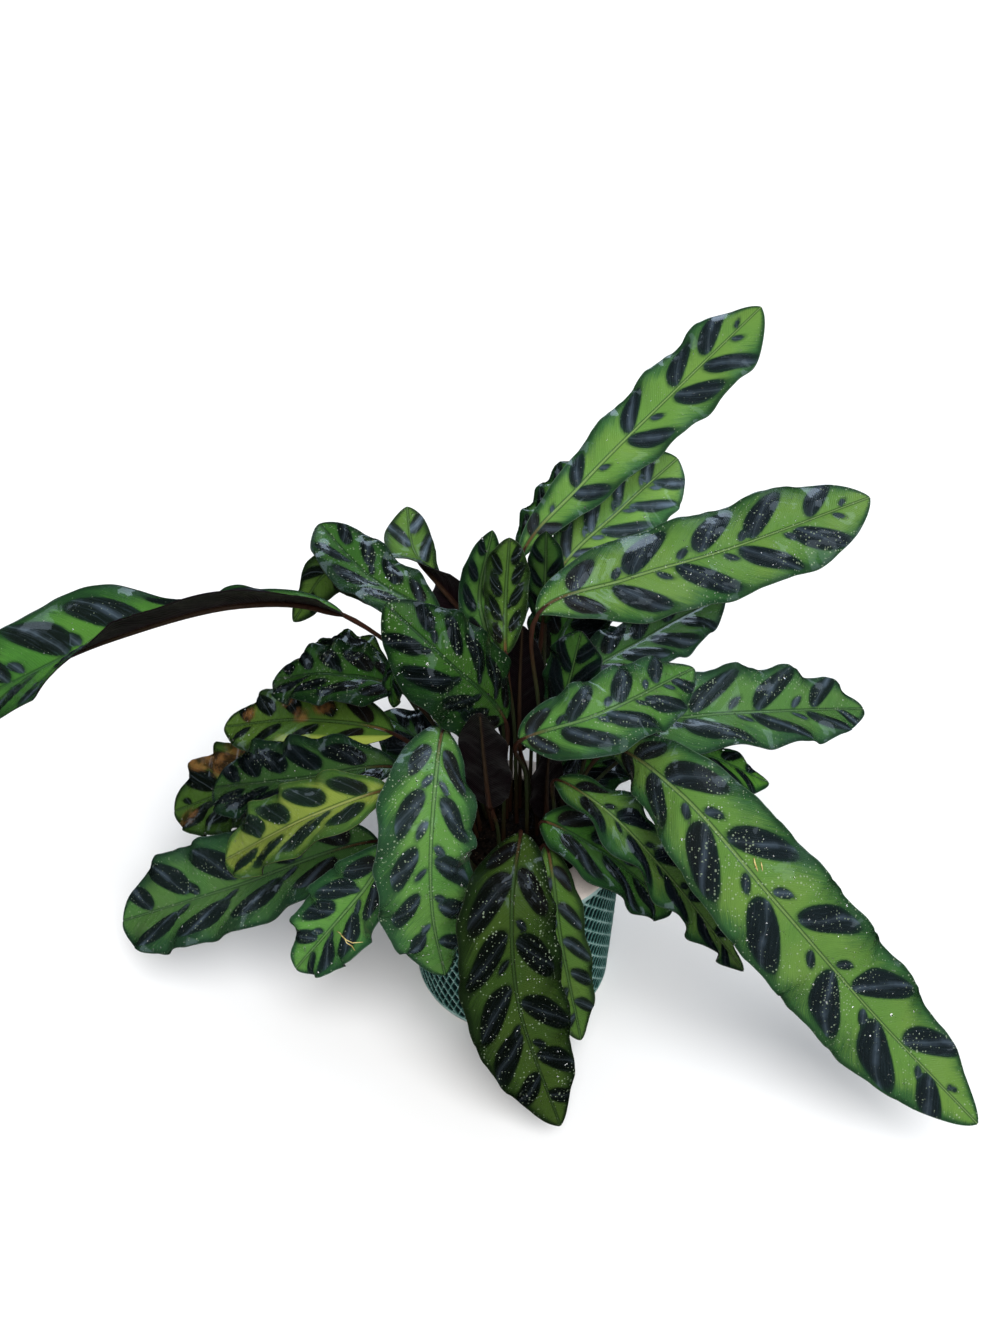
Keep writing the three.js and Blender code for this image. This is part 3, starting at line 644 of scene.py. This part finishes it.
def joined(bodies):
    """Several bodies, each as points and faces, as the points and faces of one mesh."""
    points, faces, start = [], [], 0
    for body_points, body_faces in bodies:
        points.append(body_points)
        faces += [[corner + start for corner in face] for face in body_faces]
        start += len(body_points)
    return np.vstack(points), faces


def through(points, steps):
    """Evenly counted samples of the centripetal curve that the CAD draws through its points."""
    points = np.array(points, float)
    last = len(points) - 1
    ends = [2 * points[0] - points[1], *points, 2 * points[-1] - points[-2]]
    samples = []
    for place in last * np.arange(steps + 1) / steps:
        segment = min(int(place), last - 1)
        w = place - segment
        before, start, end, after = near = ends[segment:segment + 4]
        first, middle, third = np.sqrt(np.linalg.norm(np.diff(near, axis=0), axis=1))
        leaving = (start - before) / first - (end - before) / (first + middle) + (end - start) / middle
        arriving = (end - start) / middle - (after - start) / (middle + third) + (after - end) / third
        leaving, arriving = leaving * middle, arriving * middle
        square = -3 * start + 3 * end - 2 * leaving - arriving
        cube = 2 * start - 2 * end + leaving + arriving
        samples.append(start + leaving * w + square * w * w + cube * w ** 3)
    return np.array(samples)


class Spine:
    """The line that a leaf follows from its foot to its tip."""

    def __init__(self, leaf):
        x, y = leaf["foot"]
        base = leaf["blade"][0]
        bend = (lerp(x, base[0], BEND_OUT), lerp(y, base[1], BEND_OUT), lerp(SOIL_TOP, base[2], BEND_UP))
        curve = through([(x, y, SOIL_TOP + 1), bend, *leaf["blade"]], SPINE_SAMPLES)
        self.leaf = leaf
        self.samples = np.vstack([[x, y, SOIL_TOP - HOLE_DEPTH + 0.3], curve])
        steps = np.linalg.norm(np.diff(self.samples, axis=0), axis=1)
        self.lengths = np.concatenate([[0], np.cumsum(steps)])
        self.total = self.lengths[-1]
        self.blade_start = self.lengths[1 + round(2 * SPINE_SAMPLES / (len(leaf["blade"]) + 1))]
        self.blade_length = self.total - self.blade_start

    def at(self, length):
        return np.stack([np.interp(length, self.lengths, self.samples[:, axis]) for axis in range(3)], -1)

    def frames(self, length):
        """Centre, side and normal at each length, and the share of the blade that lies before it."""
        share = (length - self.blade_start) / self.blade_length
        ahead = self.at(np.minimum(self.total, length + 2))
        direction = unit(ahead - self.at(np.maximum(0, length - 2)))
        base, tip = (np.array(self.leaf["blade"][i], float) for i in (0, -1))
        heading = unit((tip - base)[:2])
        side = np.tile([heading[1], -heading[0], 0.0], (len(length), 1))
        side = unit(side - direction * (side * direction).sum(1, keepdims=True))
        roll = -np.radians(along_stops(self.leaf["roll"], share))[:, None]
        side = side * np.cos(roll) + np.cross(direction, side) * np.sin(roll)
        return self.at(length), side, np.cross(side, direction), share


def half_width(leaf, share):
    full, narrows = leaf["shape"]
    swell = np.sin(np.pi / 2 * np.minimum(1, share / full)) ** SWELL_POWER
    narrowing = np.clip((share - narrows) / (1 - narrows), 0, 0.999)
    return leaf["width"] / 2 * np.maximum(BLUNT_TIP, swell * np.cos(np.pi / 2 * narrowing) ** TIP_POWER)


def blade_shares(spine):
    """Even steps along the blade, closer together towards the tip."""
    steps = round(spine.blade_length * 0.9 / BLADE_STEP)
    even = np.linspace(0, 0.9, steps, endpoint=False)
    toward_tip = 1 - (1 - np.linspace(0, 1, 14)) ** 1.7
    return np.concatenate([even, 0.9 + 0.1 * toward_tip])


def vein_lead(leaf, reach):
    """How far towards the tip a side vein has run at a distance from the midrib."""
    return VEIN_LEAN * reach + VEIN_BEND * reach ** 2 / (leaf["width"] / 2)


def marking(leaf, spine, share, across):
    """What a leaf's marks and scars give to each point of its blade, by name, with the side veins' places.

    mark_gap and scar_gap are distances to the nearest mark and scar, crease is the distance to the mark's
    middle line, dome is how far the mark swells, and trail is the dark band from the mark to the edge.
    """
    rng = np.random.default_rng(len(leaf["name"]) * 101 + leaf["width"])
    reach = np.abs(across)
    vein = share * spine.blade_length - vein_lead(leaf, reach)
    mark_gap, crease, scar_gap = (np.full(across.shape, far) for far in (FAR, 5.0, FAR))
    dome, trail = np.zeros(across.shape), np.zeros(across.shape)
    sets = [(side, MARK_SHAPE, *rest) for side, *rest in zip((-1, 1), leaf["marks"], leaf["long"])]
    sets += [(side, DOT_SHAPE, places, 1) for side, places in zip((-1, 1), leaf["dots"])]
    for side, shape, places, longer in sets:
        middle, long_half, wide_half = shape
        on_side = across * side > 0
        for place in places:
            half = half_width(leaf, place / 100)
            local = 0.7 * half + 0.3 * leaf["width"] / 2
            middle_reach = half * middle * rng.uniform(0.94, 1.06)
            centre = place / 100 * spine.blade_length - vein_lead(leaf, middle_reach)
            offset = (vein - centre) * MARK_SQUEEZE
            outward = (reach - middle_reach) / (local * long_half * longer * rng.uniform(0.92, 1.08))
            widest = local * wide_half * leaf["bold"] * rng.uniform(0.88, 1.12)
            flare = 1 + MARK_FLARE * np.clip(outward, -1, 1)
            oval = np.sqrt((offset / (widest * flare)) ** 2 + outward ** 2)
            gap = np.where(on_side, (oval - 1) * widest, FAR)
            crease = np.where(gap < mark_gap, offset + 0.4 * np.sin(0.4 * reach), crease)
            mark_gap = np.minimum(mark_gap, gap)
            dome = np.maximum(dome, on_side * widest * np.clip(1 - oval ** 2, 0, 1))
            band = np.clip(1.3 - np.abs(offset) / widest, 0, 1) * np.clip(2 * outward - 0.7, 0, 1)
            trail = np.maximum(trail, on_side * band * (shape == MARK_SHAPE))
    for scar_share, scar_reach, size in leaf["scars"]:
        along = (share - scar_share) * spine.blade_length
        aside = across - scar_reach * half_width(leaf, scar_share)
        scar_gap = np.minimum(scar_gap, np.hypot(along * 0.7, aside) - size)
    return dict(vein=vein, mark_gap=mark_gap, crease=crease, scar_gap=scar_gap, dome=dome, trail=trail)


def pale_band(leaf, share, outward):
    """How yellow the blade is at each point, for a leaf with a pale band along one edge."""
    if not leaf["pale"]:
        return 0
    begins, ends = leaf["pale"]
    reach = outward * math.copysign(1, begins)
    return np.clip((reach - abs(begins)) / 0.12, 0, 1) * np.clip((ends - share) / 0.1, 0, 1)


def blade_surface(leaf, spine):
    """The upper side of the blade as a grid of points, and what its pattern needs to know there."""
    share = blade_shares(spine)
    centre, side, normal, _ = spine.frames(spine.blade_start + spine.blade_length * share)
    share = share[:, None]
    half = half_width(leaf, share)
    fold = np.radians(along_stops(leaf["fold"], share))
    calm = np.minimum(1, np.minimum(share / CALM_AT_BASE, (1 - share) / CALM_AT_TIP))
    rng = np.random.default_rng(leaf["width"] * 7 + len(leaf["name"]))
    wave_height, waves = leaf["wave"]
    turn = FULL_TURN * waves * share + leaf["phase"]
    edges, scallops = [], []
    for lag in (0, RIGHT_EDGE_LAG):
        slow, quick = (np.sin(pace * turn + rng.uniform(0, 6)) for pace in WAVE_PACES)
        lesser = LESSER_WAVES[0] * slow + LESSER_WAVES[1] * quick
        edges.append(wave_height * calm * (np.sin(turn + lag) + lesser))
        scallops.append(1 + calm * (SCALLOPS[0] * np.sin(2 * turn + lag) + SCALLOPS[1] * quick))
    edge, scallop = (np.where(ACROSS_STOPS < 0, *sides) for sides in (edges, scallops))
    outward = np.abs(ACROSS_STOPS)
    across = half * ACROSS_STOPS * scallop
    reach = np.abs(across)
    painted = marking(leaf, spine, share, across)

    lift = half * np.sin(fold) * outward ** 1.15 + edge * outward ** 1.7
    lift = lift + 0.06 * half * np.sin(np.pi * np.minimum(1, outward * 1.05)) * calm
    quilt = np.clip(outward * 4, 0, 1) * (1 - outward ** 4) * calm
    pucker = PUCKER * np.cos(FULL_TURN * painted["vein"] / PUCKER_SPACING + leaf["width"])
    crossing = np.cos(FULL_TURN * painted["vein"] / CROSS_SPACING + 0.25 * reach)
    pucker += CROSS_PUCKER * crossing * np.sin(0.5 * reach + leaf["width"])
    lift = lift + quilt * (pucker + DOME_HEIGHT * painted["dome"])
    sunk, groove = (GROOVE_DEPTH * np.exp(-(gap / GROOVE_WIDTH) ** 2) for gap in (painted["crease"], reach))
    sunk = sunk * np.clip(-painted["mark_gap"], 0, 1)
    lift = lift + BLADE_TOP - sunk * quilt - groove * (1 - 0.6 * share)
    flat = across * np.cos(fold)
    points = centre[:, None] + side[:, None] * flat[..., None] + normal[:, None] * lift[..., None]
    numbers = dict(
        share=share, across=across, outward=outward, edge_gap=half * scallop - reach,
        misted=leaf["misted"], tone=leaf["tone"], dewy=min(1.25, 0.3 + leaf["wet"] / 350),
        pale=pale_band(leaf, share, across / half), **painted,
    )
    return points, normal, numbers


def shell(top, normal):
    """Closes a thin sheet below a grid of points. Each row is one ring: along the top and back underneath."""
    rows, columns, _ = top.shape
    ring, last = 2 * columns, (rows - 1) * 2 * columns
    below = top[:, ::-1] - normal[:, None] * BLADE_THICKNESS
    points = np.hstack([top, below]).reshape(-1, 3)
    faces = ring_faces(rows, ring, inside_out=True)[:-2]
    slots = np.tile(np.arange(ring) >= columns - 1, rows - 1).astype(int).tolist()
    for k in range(columns - 1):
        end = [k, k + 1, ring - 2 - k, ring - 1 - k]
        faces += [end, [last + corner for corner in reversed(end)]]
        slots += [1, 1]
    return points, faces, slots


def stalk_tube(spine):
    """The stalk, sheathed at its foot and thickened just below the blade, and the rib under the blade."""
    lengths = np.concatenate([
        np.linspace(0, spine.blade_start, 26),
        spine.blade_start + spine.blade_length * np.linspace(0.02, 0.97, 34),
    ])
    centre, side, normal, share = spine.frames(lengths)
    sheath = SHEATH * np.clip(1 - lengths / SHEATH_LENGTH, 0, 1)
    joint = JOINT * np.exp(-((spine.blade_start - lengths - JOINT_PLACE) / JOINT_LENGTH) ** 2)
    rib = RIB_AT_BASE * (1 - np.clip(share, 0, 1)) ** 0.8 + RIB_AT_TIP
    radius = np.where(share > 0, rib, STALK_RADIUS + sheath + joint)
    sunk = -(radius + 0.1) * np.clip(share / 0.04, 0, 1)
    points, faces = tube(centre + normal * sunk[:, None], side, normal, radius, STALK_CORNERS)
    shares = np.where(share < 0, lengths / spine.blade_start - 1, share)
    return points, faces, np.repeat(shares, STALK_CORNERS)


def add_leaf(leaf, finishes):
    """One leaf: a thin waved blade with its stalk, in place of its CAD node."""
    spine = Spine(leaf)
    top, normal, numbers = blade_surface(leaf, spine)
    blade_points, blade_faces, slots = shell(top, normal)
    stalk_points, stalk_faces, stalk_shares = stalk_tube(spine)
    points, faces = joined([(blade_points, blade_faces), (stalk_points, stalk_faces)])
    carried = {}
    for label, grid in numbers.items():
        grid = np.broadcast_to(grid, top.shape[:2])
        rest = stalk_shares if label == "share" else np.zeros(len(stalk_points))
        carried[label] = [*np.hstack([grid, grid[:, ::-1]]).flat, *rest]
    top_name = "deep" if leaf["finish"] == "underside" else leaf["finish"]
    materials = [finishes[top_name], finishes["underside"], finishes["stalk"]]
    slots += [2] * len(stalk_faces)
    piece = new_piece("blade_" + leaf["name"], points, faces, materials, slots, carried)
    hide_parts("leaf_" + leaf["name"])
    return top


def spot_on(top, row, column):
    """A spot between the points of a blade's upper side, with the directions across it and out of it."""
    i, j = int(row), int(column)
    corner, along, aside = top[i, j], top[i + 1, j] - top[i, j], top[i, j + 1] - top[i, j]
    return corner + along * (row - i) + aside * (column - j), unit(aside), unit(np.cross(aside, along))


def drop_on(top, rng):
    """A dome of water that stands at random on a blade's upper side, as points and faces."""
    rows, columns, _ = top.shape
    row = int(rng.uniform(0.08, 0.92) * (rows - 2))
    column = int(rng.uniform(0.04, 0.96) * (columns - 2))
    further, aside = rng.uniform(0, 1, 2)
    spot, east, normal = spot_on(top, row + further, column + aside)
    radius = min(LEAST_DROP + USUAL_DROP * rng.exponential(), LARGEST_DROP)
    rise = np.pi / 2 * np.arange(DROP_RINGS + 1) / DROP_RINGS
    centres = spot + normal * (radius * DROP_HEIGHT * np.sin(rise) - DROP_SUNK)[:, None]
    points, faces = tube(centres[:-1], east, np.cross(normal, east), radius * np.cos(rise[:-1]), DROP_CORNERS)
    upper_ring = faces.pop()
    faces += [[a, b, len(points)] for a, b in zip(upper_ring, upper_ring[1:] + upper_ring[:1])]
    return np.vstack([points, centres[-1]]), faces


def bit_on(top, leaf, radius, path):
    """A thin round bit that follows a path over a blade, as points and faces."""
    shares = blade_shares(Spine(leaf))
    path = table(path)
    spots, normals = [], []
    for share, outward in path:
        row = np.interp(share, shares, np.arange(len(shares)))
        column = np.interp(outward, ACROSS_STOPS, np.arange(len(ACROSS_STOPS)))
        spot, _, normal = spot_on(top, row, column)
        spots.append(spot + normal * (radius + 0.1))
        normals.append(normal)
    spots, normals = np.array(spots), np.array(normals)
    side = unit(np.cross(normals, unit(np.gradient(spots, axis=0))))
    taper = radius * np.interp(np.linspace(0, 1, len(path)), *BIT_TAPER)
    return tube(spots, side, normals, taper, 6)


def add_drops(surfaces, water):
    """All the standing drops, as one piece."""
    rng = np.random.default_rng(5)
    points, faces = joined(drop_on(top, rng) for top, leaf in surfaces for _ in range(leaf["wet"]))
    new_piece("water_drops", points, faces, [water])


def add_dry_bits(surfaces, straw):
    """The wisp of straw and the pale flecks that lie on two of the front leaves."""
    by_name = {leaf["name"]: (top, leaf) for top, leaf in surfaces}
    points, faces = joined(bit_on(*by_name[name], radius, path) for name, radius, path in DRY_BITS)
    new_piece("dry_bits", points, faces, [straw])


def wall_radius(height):
    return lerp(FOOT_RADIUS, TOP_RADIUS, height / SHOULDER)


def lattice(turn, height):
    """How far the lattice stands out at a place on the wall, from 0 in its cells to 1 on its bands."""
    band_place = height / BAND_RISE + BANDS_ROUND * turn / FULL_TURN
    band_gap = np.abs(band_place - np.round(band_place)) * BAND_RISE
    band = np.clip(1.25 - band_gap / BAND_HALF_WIDTH, 0, 1)
    rib_place = (turn - RIB_LEAN * height / TOP_RADIUS) * RIBS_ROUND / FULL_TURN
    rib_gap = np.abs(rib_place - np.round(rib_place)) * STEPS_PER_RIB
    smooth = np.maximum(band, RIB_HEIGHT * np.clip(1.3 - rib_gap, 0, 1))
    return smooth * smooth * (3 - 2 * smooth)


def add_pot(glaze, bisque):
    """The pot turned as one closed wall. Its rows lean with the lattice's ribs, so that each rib is clean."""
    foot = [*FOOT_OUTLINE, (wall_radius(4), 4), (wall_radius(5), 5)]
    first, last = LATTICE_BOTTOM + 0.5, LATTICE_TOP - 0.5
    heights = np.linspace(first, last, round((last - first) / LATTICE_STEP))
    wall = [(wall_radius(up) + BELLY * math.sin(math.pi * up / SHOULDER), up) for up in heights]
    columns = RIBS_ROUND * STEPS_PER_RIB
    points, raised = [], []
    for outline, patterned in ((foot, False), (wall, True), (COLLAR_OUTLINE, False)):
        for radius, height in outline:
            turn = turns_of(columns) + RIB_LEAN * height / TOP_RADIUS
            relief = np.ones(columns)
            if patterned:
                inside = min(height - LATTICE_BOTTOM, LATTICE_TOP - height)
                fading = min(1, inside / LATTICE_FADE)
                relief = 1 - (1 - lattice(turn, height)) * fading
            out = radius - LATTICE_DEPTH * (1 - relief)
            points.append(np.stack([out * np.cos(turn), out * np.sin(turn), np.full(columns, height)], -1))
            raised.append(relief)
    radii, heights = np.repeat([*foot, *wall, *COLLAR_OUTLINE][:-1], columns, axis=0).T
    unglazed = (heights >= SHOULDER - 1.7) | ((radii < 59) & (heights < 1)) | (radii < 57.5)
    faces = ring_faces(len(points), columns)
    numbers = {"raised": np.concatenate(raised)}
    piece = new_piece("pot_shell", np.vstack(points), faces, [glaze, bisque], [*unglazed, 1, 1], numbers)
    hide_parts("pot")


def add_soil(finish):
    """Potting soil: a lumpy surface inside the pot, with loose crumbs of bark on it."""
    rng = np.random.default_rng(11)
    rings, corners = 44, 120
    turns = turns_of(corners)
    out = np.array([np.cos(turns), np.sin(turns)])
    x, y = np.linspace(1, SOIL_RADIUS, rings)[:, None] * out[:, None]
    lumps = np.zeros(x.shape)
    for _ in range(SOIL_LUMPS):
        at_x, at_y = rng.uniform(-58, 58, 2)
        size = rng.uniform(1.2, 6)
        lumps += rng.uniform(-0.25, 0.32) * size * np.exp(-((x - at_x) ** 2 + (y - at_y) ** 2) / size ** 2)
    top = np.stack([x, y, SOIL_TOP + np.clip(lumps, -3, 2.5)], -1).reshape(-1, 3)
    under = np.stack([*SOIL_RADIUS * out, np.full(corners, float(SOIL_UNDERSIDE))], -1)
    bodies = [(np.vstack([top, under]), ring_faces(rings + 1, corners, inside_out=True))]
    for _ in range(CRUMBS):
        reach, turn = 55 * math.sqrt(rng.uniform()), rng.uniform(0, FULL_TURN)
        size = rng.uniform(0.6, 2.4)
        ring, column = int(reach / SOIL_RADIUS * (rings - 1)), int(turn / FULL_TURN * corners)
        spot = top[ring * corners + column] + [0, 0, 0.3 * size]
        crumb = rng.normal(size=(6, 3)) * 0.15 + CRUMB_CORNERS
        bodies.append((spot + crumb * size * rng.uniform(0.5, 1.2, 3), CRUMB_FACES))
    piece = new_piece("soil_surface", *joined(bodies), [finish])
    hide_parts("soil")


# Area lights that stand for windows: where they are, their size, power and colour. They face the plant.
WINDOWS = (
    ("window_behind", (0.2, 2.2, 1.8), 0.9, 9, (0.64, 0.8, 1.0)),
    ("window_right", (1.5, 0.7, 1.9), 0.8, 4.5, (0.66, 0.82, 1.0)),
    ("window_above", (0.7, -0.2, 2.3), 1.1, 1.5, (0.66, 0.82, 1.0)),
    ("window_left", (-1.9, 0.8, 1.5), 0.7, 2.5, (0.66, 0.82, 1.0)),
    ("window_in_front", (1.5, -1.2, 1.6), 0.7, 2.5, (0.7, 0.85, 1.0)),
)
PLANT_MIDDLE = (0, 0, 0.2)


def add_stage():
    """A plain white floor, soft light from above and behind, and the camera at the photograph's angle."""
    floor_mesh = bpy.data.meshes.new("floor")
    floor_mesh.from_pydata([(-30, -30, 0), (30, -30, 0), (30, 30, 0), (-30, 30, 0)], [], [(0, 1, 2, 3)])
    floor = in_scene("floor", floor_mesh)
    white = Look("floor_white", IOR=1.2)
    floor_mesh.materials.append(white.finish((0.86, 0.86, 0.86, 1), 0.9))
    floor.visible_glossy = False
    floor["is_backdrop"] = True

    world = bpy.data.worlds.new("studio")
    bpy.context.scene.world = world
    world.use_nodes = True
    background = world.node_tree.nodes["Background"]
    background.inputs["Color"].default_value = (1.0, 0.97, 0.93, 1)
    background.inputs["Strength"].default_value = 0.4
    world.cycles_visibility.glossy = False

    daylight = bpy.data.lights.new("soft_daylight", "SUN")
    daylight.energy = 3.4
    daylight.angle = math.radians(38)
    skylight = in_scene("soft_daylight", daylight)
    skylight.rotation_euler = (math.radians(35), math.radians(11), 0)
    skylight.visible_glossy = False

    for name, spot, size, power, color in WINDOWS:
        window = bpy.data.lights.new(name, "AREA")
        window.size, window.energy, window.color = size, power, color
        lamp = in_scene(name, window)
        lamp.location = spot
        lamp.rotation_euler = (Vector(PLANT_MIDDLE) - Vector(spot)).to_track_quat("-Z", "Y").to_euler()

    camera = in_scene("camera", bpy.data.cameras.new("camera"))
    camera.data.sensor_width = 36
    camera.data.lens = 35
    camera.location = (-0.008, -0.5396, 0.6567)
    camera.rotation_euler = (math.radians(52), 0, 0)
    bpy.context.scene.camera = camera
    bpy.context.scene.view_settings.view_transform = "Standard"


add_stage()
veins = vein_group()
dew = dew_group()
pattern = leaf_pattern_group(veins)
finishes = {name: leaf_top_material(name, tints, pattern, dew) for name, tints in LEAF_TINTS.items()}
finishes["underside"] = underside_material(veins)
finishes["stalk"] = stalk_material()
add_pot(glaze_material(), bisque_material())
add_soil(soil_material())
surfaces = [(add_leaf(leaf, finishes), leaf) for leaf in LEAVES]
add_drops(surfaces, water_material())
add_dry_bits(surfaces, straw_material())

scene_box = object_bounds()
